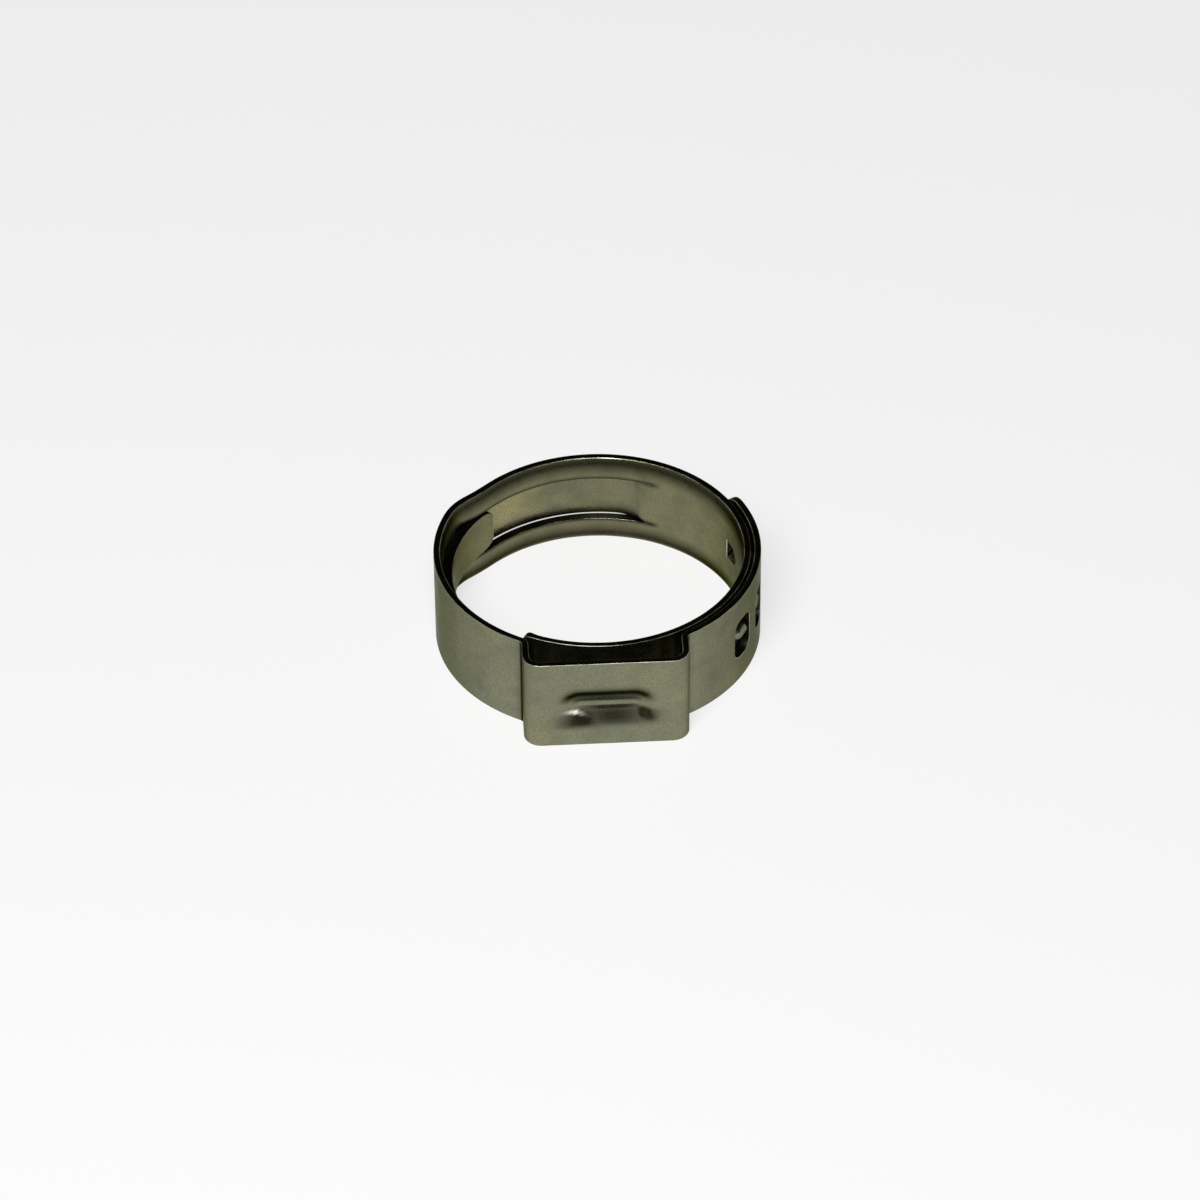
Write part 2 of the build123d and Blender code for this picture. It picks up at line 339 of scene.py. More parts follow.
def rounded_notch(a, b, radius, reach):
    """Metal grown into the corner of a cut-out, so that the cut-out has a round corner.

    a and b are distances into the cut-out from the corner's two sides. A point of the outline at b on the
    side a = 0 goes to (r - r cos t, r - r sin t), with t = 45 degrees times 1 - b / r, and likewise on the
    other side. Metal behind the outline follows its nearest point of it, less the further off it stands.
    """
    near_a, near_b = np.maximum(a, 0), np.maximum(b, 0)
    off = np.maximum(near_a - a, near_b - b)
    pull = np.clip(1 - off / reach, 0, 1)
    turn_a = tau / 8 * np.clip(1 - near_b / radius, 0, 1)
    turn_b = tau / 8 * np.clip(1 - near_a / radius, 0, 1)
    beside_a = (near_a == 0) & (near_b < radius)
    beside_b = (near_b == 0) & (near_a < radius) & ~beside_a
    move_a = np.where(beside_a, radius - radius * np.cos(turn_a), 0)
    move_b = np.where(beside_a, radius - radius * np.sin(turn_a) - near_b, 0)
    move_a = np.where(beside_b, radius - radius * np.sin(turn_b) - near_a, move_a)
    move_b = np.where(beside_b, radius - radius * np.cos(turn_b), move_b)
    return move_a * pull, move_b * pull


def pressed(share, crown_radius, crown_lift, root_radius):
    """Profile of a form pressed out of a sheet: a round crown, then a tangent bend back to the sheet.

    share runs from 0 at the middle to 1 at the foot, evenly along the profile. The crown is an arc about a
    centre crown_lift above the sheet, and the root an arc that touches the crown and the sheet. Returns the
    distance from the middle, the height above the sheet and the foot's distance.
    """
    arms = crown_radius + root_radius
    foot = (arms**2 - (root_radius - crown_lift) ** 2) ** 0.5
    sweep = np.arctan2(foot, root_radius - crown_lift)
    along = share * arms * sweep
    crown = np.minimum(along / crown_radius, sweep)
    root = np.clip((arms * sweep - along) / root_radius, 0, sweep)
    on_crown = along < crown_radius * sweep
    out = np.where(on_crown, crown_radius * np.sin(crown), foot - root_radius * np.sin(root))
    lift = np.where(on_crown, crown_lift + crown_radius * np.cos(crown), root_radius * (1 - np.cos(root)))
    return out, lift, foot


def boat_depth(s, off):
    """Depth of the dimple in the middle of the metal, at distances from its spine.

    From the spine outwards it is an arc of radius R + t/2 up to sin(a) of it, then a straight flank at the
    angle a, then a bend of radius r - t/2 back to the ear's top. The flank would meet the top half the
    dimple's width out, plus t/2 tan(a/2), and the last bend starts and stops r' tan(a/2) either side of that.
    """
    half_metal = s.thickness / 2
    bottom = s.dimple_bottom + half_metal
    rim = s.dimple_rim - half_metal
    meets = s.dimple_width / 2 + half_metal * tan(s.dimple_flank / 2)
    tangent = rim * tan(s.dimple_flank / 2)
    deepest = meets * tan(s.dimple_flank) - bottom * (1 / cos(s.dimple_flank) - 1)
    on_arc = deepest - bottom + np.sqrt(np.maximum(bottom**2 - off**2, 0))
    on_flank = (meets - off) * tan(s.dimple_flank)
    on_rim = rim - np.sqrt(np.maximum(rim**2 - (meets + tangent - off) ** 2, 0))
    outer_part = np.where(off < meets - tangent * cos(s.dimple_flank), on_flank, on_rim)
    depth = np.where(off < bottom * sin(s.dimple_flank), on_arc, outer_part)
    return np.where(off < meets + tangent, depth, 0)


def bump(distance, width):
    """Smooth bump of height 1 that falls to 0.37 at a width from its middle."""
    return np.exp(-((distance / width) ** 2))


def patch(along, across, middle, reach):
    """Smooth patch of height 1, with pointed ends and firm sides: e to the power -(x / a)^2 - (y / b)^4."""
    return np.exp(-(((along - middle[0]) / reach[0]) ** 2) - ((across - middle[1]) / reach[1]) ** 4)


# Patches of painted shade in the dimple, where its flanks reflect dark, in millimetres along and across from
# its middle: middle, reach, and strength where it varies
DIMPLE_PAINTED_SHADE = (
    ((0.4, -0.36), (2.2, 0.17), 1.2),
    ((-1.8, -1.1), (1.35, 0.56), 1.2),
    ((0.4, -1.0), (2.5, 0.58), 0.9),
    ((2.65, -0.75), (0.7, 0.5), 1.3),
)
# Painted glint in the dimple, in millimetres along and across from its middle: middle, reach
DIMPLE_PAINTED_GLINT = (-2.25, -0.62), (0.6, 0.13)
STREAK_SLANT = 0.3
RIM_PLACE = 0.87  # share of half the dimple's width at which painted shade lies under its rim
RIM_REACH, FOLD_REACH, SLIT_REACH = 0.32 * MM, 0.28 * MM, 0.2 * MM  # half widths of the lines of painted shade
SLIT_LEAD = 0.6 * MM  # from the start of the painted shade by the slits to the channel
UNSHADED_START, UNSHADED_LENGTH = 0.3 * MM, 3.2 * MM  # of the part in front of the tongue's tip that has no painted shade
# Painted shade, rubbing and a painted glint, in that order
WEAR_AND_PAINTED_LIGHT = ("grime", "rubbed", "burnished")


def outer_painted_shade(s, lines, along, u, v, off):
    """Painted shade on the outer side.

    It is painted in the dimple, under its upper rim and in patches of its lower half, where the pressed
    flanks reflect dark, in the folds at the ear's feet, and thinly over the ring right of the ear. u and v
    are distances from the dimple's middle, along the strip and across it, and off is the distance from its
    spine.
    """
    turned_up = np.clip((v / np.maximum(off, TINY) - 0.25) / 0.5, 0, 1)
    under_rim = off - RIM_PLACE * s.dimple_width / 2
    grime = np.minimum(1.3 * bump(under_rim, RIM_REACH), 1) * turned_up
    for middle, reach, strength in DIMPLE_PAINTED_SHADE:
        grime = np.maximum(grime, strength * patch(u / MM, v / MM, middle, reach))
    # Painted shade in the folds at the ear's feet, and thinly over the ring right of the ear
    left_fold = (lines.left_foot + lines.left_leg) / 2
    right_fold = (lines.right_bend + lines.right_foot) / 2
    for fold, strength in ((left_fold, 1.0), (right_fold, 0.7)):
        grime = grime + strength * bump(along - fold, FOLD_REACH)
    return grime + 0.13 * np.clip((along - lines.right_foot) / MM, 0, 1)


def strip_wear_and_painted_light(s, lines, plan, along, height, u, v, off):
    """The kinds of rubbing and painted light, from 0 to 1, each on the outer side and then on the bore's
    side.

    The bore's side has painted shade all over, and more along the two slits and a little in from the strip's
    edges. It is rubbed all over too, and most on the channel's floor in front of the tongue's tip, where it
    has no painted shade. One short painted glint lies in the dimple.
    """
    tip = lines.channel + lines.inner * (s.tongue_tip - s.channel_start)
    near_channel = np.clip((along - lines.channel + SLIT_LEAD) / SLIT_LEAD, 0, 1)
    by_slit = bump(height - plan.side_half, SLIT_REACH) * near_channel * (along < lines.channel_end)
    inward = (plan.strip_half - height) / MM
    by_edge = np.clip(inward / 0.3, 0, 1) * np.clip(1.5 - inward, 0, 1) * (along > lines.shoulder)
    ahead = np.clip((tip - along) / UNSHADED_START, 0, 1) * np.clip(1.5 - (tip - along) / UNSHADED_LENGTH, 0, 1)
    ahead = ahead * (height < plan.side_half) * (along > lines.channel)
    # Painted shade over the bore's side, more along the slits and in from the edges, none just ahead of the
    # tongue's tip
    inner_painted_shade = 0.25 * (1 - ahead) + 0.7 * by_slit + 0.65 * by_edge
    rubbed = 0.5 + 0.5 * ahead
    # Painted glint: a short highlight streak in the dimple, slanted across it
    middle, reach = DIMPLE_PAINTED_GLINT
    burnished = patch(u / MM, v / MM + STREAK_SLANT * (u / MM - middle[0]), middle, reach)
    none = np.zeros_like(rubbed)
    kinds = ((outer_painted_shade(s, lines, along, u, v, off), inner_painted_shade), (none, rubbed), (burnished, none))
    return np.clip(np.stack([np.stack(sides, axis=-1) for sides in kinds], axis=-2), 0, 1)


# -------------------- the strip's middle sheet

ROW_COUNTS = (10, 6, 1, 14)  # from the middle to a hook's foot, the inner row, the side row and the edge
SLIT_EASE = 0.25  # share of the edge rounding that a slit's edges have


class Plan:
    """Half widths, hooks, windows and point spacings, laid out on the strip's lines."""

    fine, middling, coarse = 0.13 * MM, 0.22 * MM, 0.4 * MM
    mouth_cut = 0.06 * MM

    def __init__(self, s, lines):
        self.tongue_half = s.tongue_width / 2
        self.side_half = self.tongue_half + s.channel_clearance
        self.floor_half = self.side_half - s.slit
        self.strip_half = s.width / 2
        self.window_half = s.window_height / 2
        axis_radius = s.bore_radius + s.thickness + s.hook_height - s.hook_width / 2
        self.hook = s.hook_width / 2 - s.hook_wall / 2, axis_radius - lines.inner, s.hook_root
        _, _, self.hook_foot = pressed(np.zeros(1), *self.hook)
        self.nose_spine = s.hook_length - s.hook_width / 2
        windows = [s.window_first, s.window_second, s.window_third]
        to_mouth = (s.window_length / 2 - s.hook_setback) / axis_radius
        self.mouths = [lines.inner_station(s, angle + to_mouth) for angle in windows]
        self.windows = [lines.outer_station(angle) for angle in windows]


def strip_stations(s, lines, plan):
    """Stations along the strip, closer together where it is cut, pressed or folded."""
    fine, middling, coarse = plan.fine, plan.middling, plan.coarse
    marks = [
        (0, fine), (s.tip_length, coarse), (lines.shoulder - s.shoulder_inner - middling, fine),
        (lines.shoulder, fine), (lines.shoulder + s.shoulder_outer, coarse),
        (lines.channel - 2 * fine, fine), (lines.channel, fine / 2), (lines.ramp_end, coarse),
        (lines.step, coarse), (lines.channel_end, fine), (lines.channel_end + 2 * fine, coarse),
        (lines.left_foot, fine / 2), (lines.left_leg, fine), (lines.left_corner, fine),
        (lines.top_left, fine), (lines.top_right, fine), (lines.right_leg, fine),
        (lines.right_bend, fine / 2), (lines.right_foot, coarse),
        (lines.end - s.outer_corner, fine), (lines.end, fine),
    ]
    for mouth in plan.mouths:
        marks += [
            (mouth - plan.nose_spine - plan.hook_foot, fine), (mouth, plan.mouth_cut),
            (mouth + plan.mouth_cut, fine), (mouth + 3 * fine, coarse),
        ]
    for middle in plan.windows:
        low, high = middle - s.window_length / 2, middle + s.window_length / 2
        marks += [
            (low - 3 * fine, fine), (low, fine), (low + s.window_corner, middling),
            (high - s.window_corner, fine), (high, fine), (high + 3 * fine, coarse),
        ]
    return spread(marks)


def outline_rows(s, lines, plan, station):
    """Heights of the two rows that follow an outline, as they change along the strip.

    The first follows the tongue's sides, the channel floor's and the windows', and the second the side
    strips' inner edges.
    """
    fine = plan.fine
    beyond = s.window_length / 2 + 2 * fine
    first, last = min(plan.windows) - beyond, max(plan.windows) + beyond
    inner_row = np.interp(
        station,
        [lines.shoulder, lines.channel - 4 * fine, lines.channel, lines.channel_end,
         lines.channel_end + 4 * fine, first - 4 * fine, first, last, lines.end],
        [plan.tongue_half] * 2 + [plan.floor_half] * 2 + [plan.tongue_half] * 2 + [plan.window_half] * 3,
    )
    side_row = np.interp(
        station,
        [lines.channel - 4 * fine, lines.channel, lines.channel_end, lines.channel_end + 4 * fine],
        [plan.tongue_half + 2 * fine, plan.side_half, plan.side_half, plan.tongue_half + 2 * fine],
    )
    return inner_row, side_row


def metal_cells(s, lines, plan, along, height, inner_row, side_row):
    """Which cells of the grid are metal: none beside the tongue, in a slit, in a window or at a mouth."""
    middle_along = (along[:-1, :-1] + along[1:, 1:]) / 2
    corners = height[:-1, :-1] + height[:-1, 1:] + height[1:, :-1] + height[1:, 1:]
    middle_height = np.abs(corners) / 4
    inner_edge = (inner_row[:-1] + inner_row[1:])[:, None] / 2
    side_edge = (side_row[:-1] + side_row[1:])[:, None] / 2
    metal = ~((middle_along < lines.shoulder) & (middle_height > inner_edge))
    in_channel = (middle_along > lines.channel) & (middle_along < lines.channel_end)
    metal &= ~(in_channel & (middle_height > inner_edge) & (middle_height < side_edge))
    for mouth in plan.mouths:
        at_mouth = (middle_along > mouth) & (middle_along < mouth + plan.mouth_cut)
        metal &= ~(at_mouth & (middle_height < plan.hook_foot))
    for middle in plan.windows:
        metal &= ~((abs(middle_along - middle) < s.window_length / 2) & (middle_height < inner_edge))
    return metal


def round_corners(s, lines, plan, along, height):
    """Stations and heights, from the strip's middle, with the flat sheet's corners rounded.

    The corners are those of the tongue's tip, the shoulder, the free end and the windows.
    """
    move_along = np.zeros_like(along)
    move_height = np.zeros_like(along)
    from_edge = plan.strip_half - height
    on_tongue = height <= plan.tongue_half
    on_strip = along >= lines.shoulder - TINY
    ends = (
        (along, plan.tongue_half - height, s.tip_length, s.tip_drop, 1, on_tongue),
        (along - lines.shoulder, from_edge, s.shoulder_outer, s.shoulder_outer, 1, on_strip),
        (lines.end - along, from_edge, s.outer_corner, s.outer_corner, -1, on_strip),
    )
    for from_end, from_side, length, drop, way, part in ends:
        back, down = rounded_end(from_end, from_side, length, drop)
        move_along += way * np.where(part, back, 0)
        move_height -= np.where(part, down, 0)
    radius = s.shoulder_inner
    grow, rise = rounded_notch(lines.shoulder - along, height - plan.tongue_half, radius, 3 * plan.fine)
    near = np.abs(along - lines.shoulder) < 2 * radius
    move_along -= np.where(near, grow, 0)
    move_height += np.where(near, rise, 0)
    for middle in plan.windows:
        for end in (-1, 1):
            into = s.window_length / 2 - end * (along - middle)
            grow, rise = rounded_notch(into, plan.window_half - height, s.window_corner, 2.5 * plan.fine)
            near = (into < s.window_length / 2) & (into > -6 * plan.fine)
            move_along -= end * np.where(near, grow, 0)
            move_height -= np.where(near, rise, 0)
    return along + move_along, height + move_height


def press_hooks(s, plan, along, height):
    """Hooks pressed out of the inner layer, with their closed back towards the ear.

    Each is the profile of `pressed`, turned about its nose and carried straight on to the mouth. Returns the
    stations and heights drawn towards the hooks' middle lines, the lift and half the metal's thickness.
    """
    pressed_along, pressed_height = along.copy(), height.copy()
    lift = np.zeros_like(along)
    half = np.full_like(along, s.thickness / 2)
    for mouth in plan.mouths:
        past = np.minimum(along - (mouth - plan.nose_spine), 0)
        off = np.hypot(past, height)
        share = np.clip(off / plan.hook_foot, 0, 1)
        out, rise, _ = pressed(share, *plan.hook)
        inside = (along <= mouth + TINY) & (off < plan.hook_foot) & (past > -plan.hook_foot)
        scale = np.divide(out, off, out=np.zeros_like(off), where=off > TINY)
        drawn_along = np.minimum(along, mouth) - past + past * scale
        pressed_along = np.where(inside, drawn_along, pressed_along)
        pressed_height = np.where(inside, height * scale, pressed_height)
        lift = np.where(inside, rise, lift)
        thin = np.clip((1 - share) * 4, 0, 1)
        thinned = s.thickness / 2 + (s.hook_wall - s.thickness) / 2 * thin**2 * (3 - 2 * thin)
        half = np.where(inside, thinned, half)
    return pressed_along, pressed_height, lift, half


def bent_sheet(lines, along, height, on_floor, lift):
    """Points of the flat sheet bent along the strip's line, and along the floor's line in the channel.

    A point goes to p + n l, with p and n the line's point and normal at its station and l its lift. On the
    channel's floor p and n are the floor line's, at the same angle about the bore.
    """
    point, normal = lines.strip.at(along)
    floor_station = np.linspace(lines.floor.marks[0], lines.floor.marks[-1], SAMPLES)
    floor_point, _ = lines.floor.at(floor_station)
    matched = np.interp(np.angle(point) % tau, np.unwrap(np.angle(floor_point)), floor_station)
    lowered_point, lowered_normal = lines.floor.at(matched)
    point = np.where(on_floor, lowered_point, point) + np.where(on_floor, lowered_normal, normal) * lift
    return np.stack([point.real, point.imag, height], axis=2).reshape(-1, 3)


def strip_sheet(s):
    """The strip's middle sheet, as a grid of stations along its line by heights across it.

    Cells without metal are left out. Round corners, hooks and the dimple move points within the sheet and
    off it. Returns points, quads, half thicknesses, rollover, shares of edge rounding, flat points, and the
    rubbing and painted light.
    """
    lines = Lines(s)
    plan = Plan(s, lines)
    station = strip_stations(s, lines, plan)
    inner_row, side_row = outline_rows(s, lines, plan, station)
    keys = [
        np.zeros_like(station), np.full_like(station, plan.hook_foot), inner_row, side_row,
        np.full_like(station, plan.strip_half),
    ]
    rows = [
        low + (high - low) * part / count
        for low, high, count in zip(keys, keys[1:], ROW_COUNTS)
        for part in range(count)
    ]
    above = np.stack([*rows, keys[-1]], axis=1)
    height = np.concatenate([-above[:, :0:-1], above], axis=1)
    along = np.repeat(station[:, None], height.shape[1], axis=1)
    metal = metal_cells(s, lines, plan, along, height, inner_row, side_row)

    side = np.sign(height)
    along, from_middle = round_corners(s, lines, plan, along, np.abs(height))
    height = side * from_middle
    pressed_along, pressed_height, lift, half = press_hooks(s, plan, along, height)

    u = along - (lines.top_left + lines.top_right) / 2
    v = height - s.dimple_offset
    off = np.hypot(np.maximum(np.abs(u) - (s.dimple_length - s.dimple_width) / 2, 0), v)
    lift = lift - boat_depth(s, off)

    inward = np.clip((plan.strip_half - from_middle) / s.rollover_reach, 0, 1)
    roll = s.rollover * (1 - inward) ** 2 * np.clip((along - lines.shoulder) / MM, 0, 1)
    by_channel = (along > lines.channel - plan.fine) & (along < lines.channel_end + plan.fine)
    ease = np.where((from_middle < plan.side_half + plan.fine) & by_channel, SLIT_EASE, 1.0)
    wear_and_painted_light = strip_wear_and_painted_light(s, lines, plan, along, from_middle, u, v, off)

    in_channel = (pressed_along >= lines.channel) & (pressed_along <= lines.channel_end)
    on_floor = (from_middle <= plan.floor_half + TINY) & in_channel
    points = bent_sheet(lines, pressed_along, pressed_height, on_floor, lift)

    # Seen from outside, stations run to the right and heights up
    used, quads = np.unique(grid_quads(*along.shape)[metal], return_inverse=True)
    flat = np.stack([along, height], axis=2).reshape(-1, 2)[used]
    half, roll, ease = (values.reshape(-1)[used] for values in (half, roll, ease))
    return points[used], quads.reshape(-1, 4), half, roll, ease, flat, wear_and_painted_light.reshape(-1, 3, 2)[used]


def grid_quads(rows, columns):
    """Quads between the points of a grid that are numbered row by row."""
    first = np.arange(rows * columns).reshape(rows, columns)
    return np.stack([first[:-1, :-1], first[1:, :-1], first[1:, 1:], first[:-1, 1:]], axis=2)


def vertex_normals(points, quads):
    """Unit normals: each face adds the cross product of its diagonals to its four corners."""
    across = np.cross(points[quads[:, 2]] - points[quads[:, 0]], points[quads[:, 3]] - points[quads[:, 1]])
    normals = np.zeros_like(points)
    for corner in range(4):
        np.add.at(normals, quads[:, corner], across)
    return normals / np.linalg.norm(normals, axis=1, keepdims=True)


def thicken(points, quads, half, roll, ease, flat, wear_and_painted_light, radii, segments=3):
    """Closed wall about a middle sheet, with rounded edges.

    A point p with normal n gives p + h n and p - (h - roll) n, the two faces. Round an outline with the
    outward direction b, the edge of a face with its own normal m is swept from the face's point f by
    f + b (r sin t - r) + m (r cos t - r) for t from 0 to 90 degrees. radii are those of the face that n
    points to and of the other, and ease is the share of them that a point takes. Returns points, quads,
    normals, flat points and attributes: how far a point is on an edge, and its rubbing and painted light.
    """
    count = len(points)
    normals = vertex_normals(points, quads)
    outer = points + normals * half[:, None]
    inner = points - normals * (half - roll)[:, None]
    inner_normals = -vertex_normals(inner, quads)
    edges = np.concatenate([quads[:, [0, 1]], quads[:, [1, 2]], quads[:, [2, 3]], quads[:, [3, 0]]])
    one_way = edges[:, 0] * count + edges[:, 1]
    other_way = edges[:, 1] * count + edges[:, 0]
    rim = edges[~np.isin(one_way, other_way)]
    runs = points[rim[:, 1]] - points[rim[:, 0]]
    sideways = np.cross(runs, normals[rim[:, 0]] + normals[rim[:, 1]])
    sideways /= np.linalg.norm(sideways, axis=1, keepdims=True)
    outward = np.zeros_like(points)
    np.add.at(outward, rim[:, 0], sideways)
    np.add.at(outward, rim[:, 1], sideways)
    border = np.unique(rim)
    square = (outward[border] ** 2).sum(axis=1, keepdims=True)
    away = 2 * outward[border] / np.maximum(square, 0.5)
    unit = away / np.linalg.norm(away, axis=1, keepdims=True)
    turn = np.linspace(0, tau / 4, segments + 1)
    rounding = ease[border, None] * radii
    sides = (
        (outer[border], normals[border], rounding[:, :1], turn),
        (inner[border], inner_normals[border], rounding[:, 1:], turn[::-1]),
    )
    rings = [
        face + away * radius * (sin(t) - 1) + up * radius * (cos(t) - 1)
        for face, up, radius, turns in sides for t in turns
    ]
    ring_normals = [unit * sin(t) + up * cos(t) for _, up, _, turns in sides for t in turns]
    place = np.zeros(count, int)
    place[border] = np.arange(len(border))

    outer[border], inner[border] = rings[0], rings[-1]
    levels = len(rings)
    base = 2 * count + place - len(border)
    between = [base + level * len(border) for level in range(1, levels - 1)]
    index = [np.arange(count), *between, np.arange(count) + count]
    walls = [
        np.stack([near[rim[:, 1]], near[rim[:, 0]], far[rim[:, 0]], far[rim[:, 1]]], axis=1)
        for near, far in zip(index, index[1:])
    ]
    all_points = np.concatenate([outer, inner, *rings[1:-1]])
    all_quads = np.concatenate([quads, quads[:, ::-1] + count, *walls])
    all_normals = np.concatenate([normals, inner_normals, *ring_normals[1:-1]])
    all_flat = np.concatenate([flat, flat, *[flat[border]] * (levels - 2)])
    ring_turns = [*turn[1:], *turn[:0:-1]]
    on_edge = [np.full(len(border), sin(t)) for t in ring_turns]
    attributes = {"cut_edge": np.concatenate([np.zeros(2 * count), *on_edge])}
    for kind, name in enumerate(WEAR_AND_PAINTED_LIGHT):
        on_rings = [wear_and_painted_light[border, kind].max(axis=1)] * (levels - 2)
        attributes[name] = np.concatenate([wear_and_painted_light[:, kind, 0], wear_and_painted_light[:, kind, 1], *on_rings])
    return all_points, all_quads, all_normals, all_flat, attributes


def put_mesh(name, points, quads):
    """A smooth mesh object at the origin."""
    mesh = bpy.data.meshes.new(name)
    mesh.from_pydata(points, [], quads)
    mesh.shade_smooth()
    piece = bpy.data.objects.new(name, mesh)
    bpy.context.scene.collection.objects.link(piece)
    return piece


def detail_mesh(mesh, normals, flat, attributes):
    """Give a mesh its UV map, attributes and own normals."""
    corners = np.empty(len(mesh.loops), np.int32)
    mesh.loops.foreach_get("vertex_index", corners)
    mesh.uv_layers.new(name="Strip").data.foreach_set("uv", flat[corners].astype(np.float32).ravel())
    for kind, values in attributes.items():
        mesh.attributes.new(kind, "FLOAT", "POINT").data.foreach_set("value", values.astype(np.float32))
    mesh.normals_split_custom_set_from_vertices(normals)


# -------------------- shader maths

class Wire:
    """One value in a material's node tree. Arithmetic on it adds Math nodes."""

    def __init__(self, nodes, socket):
        self.nodes, self.socket = nodes, socket

    def _math(self, operation, *values):
        return self.nodes.add("ShaderNodeMath", {"operation": operation}, dict(enumerate(values)))

    def __add__(self, other):
        return self._math("ADD", self, other)

    def __sub__(self, other):
        return self._math("SUBTRACT", self, other)

    def __rsub__(self, other):
        return self._math("SUBTRACT", other, self)

    def __mul__(self, other):
        return self._math("MULTIPLY", self, other)

    __radd__ = __add__
    __rmul__ = __mul__


class Nodes:
    """Adds nodes to a material's or world's tree."""

    def __init__(self, owner):
        owner.use_nodes = True
        self.tree = owner.node_tree
        self.tree.nodes.clear()

    def add(self, kind, settings=None, inputs=None, output=0):
        """A node of a type: its settings come first, then the values or links of its sockets."""
        node = self.tree.nodes.new(kind)
        for name, value in (settings or {}).items():
            if name == "stops":
                self._stops(node.color_ramp, value)
            else:
                setattr(node, name, value)
        for name, value in (inputs or {}).items():
            if isinstance(value, Wire):
                self.tree.links.new(value.socket, node.inputs[name])
            else:
                node.inputs[name].default_value = value
        return Wire(self, node.outputs[output]) if node.outputs else node

    @staticmethod
    def _stops(ramp, stops):
        for place, value in stops[1:-1]:
            ramp.elements.new(place)
        for element, (place, value) in zip(ramp.elements, stops):
            element.position = place
            element.color = (value, value, value, 1)

    def blend(self, share, first, second):
        """Colour that goes from the first to the second, each a wire or a colour without alpha."""
        first, second = (end if isinstance(end, Wire) else (*end, 1.0) for end in (first, second))
        settings = {"data_type": "RGBA", "blend_type": "MIX"}
        return self.add("ShaderNodeMix", settings, {0: share, 6: first, 7: second}, output=2)


def steel(finish, name="Rolled steel"):
    """Dull rolled stainless steel with speckle, rolling lines, smudges, rubbing and dark sheared edges,
    with painted shade in its hollows and on its bore's side, and one painted glint in the dimple.
    """
    material = bpy.data.materials.new(name)
    nodes = Nodes(material)
    place = nodes.add("ShaderNodeTexCoord", output="Object")
    strip = nodes.add("ShaderNodeUVMap", {"uv_map": "Strip"})
    cut, grime, rubbed, burnished = (
        nodes.add("ShaderNodeAttribute", {"attribute_name": name}, output="Fac")
        for name in ("cut_edge", *WEAR_AND_PAINTED_LIGHT)
    )

    def noise(where, size, detail=2.0, roughness=0.5):
        inputs = {"Vector": where, "Scale": 1 / size, "Detail": detail, "Roughness": roughness}
        return nodes.add("ShaderNodeTexNoise", None, inputs)

    def ramp(value, *stops):
        return nodes.add("ShaderNodeValToRGB", {"stops": stops}, {"Fac": value})

    drawn = nodes.add("ShaderNodeMapping", None, {"Vector": strip, "Scale": (0.06, 1.0, 1.0)})
    speckle = noise(place, finish.grain, 2.0, 0.6)
    rolling = noise(drawn, 0.07 * MM, 3.0, 0.7)
    clouds = noise(place, 1.6 * MM, 3.0, 0.55)
    patches = noise(place, 4.5 * MM, 2.0, 0.5)

    smudge = ramp(clouds, (0.42, 0.0), (0.72, 1.0))
    warmth = ramp(patches, (0.40, 0.0), (0.66, 1.0))
    face = nodes.blend(warmth * 0.2 + rubbed * 0.65, finish.face, finish.warm)
    face = nodes.blend(smudge * 0.35, face, finish.stain)
    face = nodes.blend(ramp(speckle, (0.38, 1.0), (0.60, 0.0)) * 0.6, face, finish.stain)
    # Painted shade: near black in the dimple, the folds, along the slits and over the bore's side
    face = nodes.blend(grime * (0.6 + speckle * 0.8), face, finish.grime)
    # Painted glint in the dimple
    face = nodes.blend(burnished, face, finish.bright)
    # Sheared edges: near black and speckled darker, partly painted shade for the dark room they reflect
    edge = nodes.blend(ramp(speckle, (0.40, 0.0), (0.60, 0.6)), finish.cut, finish.grime)
    on_corner = ramp(cut, (0.10, 0.0), (0.35, 1.0), (0.70, 1.0), (0.85, 0.0))
    worn = on_corner * ramp(clouds, (0.40, 0.0), (0.60, 1.0))
    face = nodes.blend(worn * 0.7, face, finish.bright)
    colour = nodes.blend(ramp(cut, (0.80, 0.0), (0.95, 1.0)), face, edge)

    roughness = finish.roughness + smudge * 0.10 + (speckle - 0.5) * 0.25 + (rolling - 0.5) * 0.2 + cut * 0.06
    relief = speckle * 0.6 + rolling * 0.4
    fine_bump = nodes.add(
        "ShaderNodeBump", None, {"Strength": 0.35, "Distance": 0.012 * MM, "Height": relief}
    )
    waves = noise(place, 3.2 * MM, 1.0, 0.4)
    bump = nodes.add(
        "ShaderNodeBump", None, {"Strength": 0.5, "Distance": 0.05 * MM, "Height": waves, "Normal": fine_bump}
    )
    shader = nodes.add(
        "ShaderNodeBsdfPrincipled", None,
        {
            "Base Color": colour, "Metallic": 1.0, "Roughness": roughness, "Normal": bump,
            "Specular Tint": (*finish.graze, 1.0),
        },
    )
    nodes.add("ShaderNodeOutputMaterial", None, {"Surface": shader})
    return material


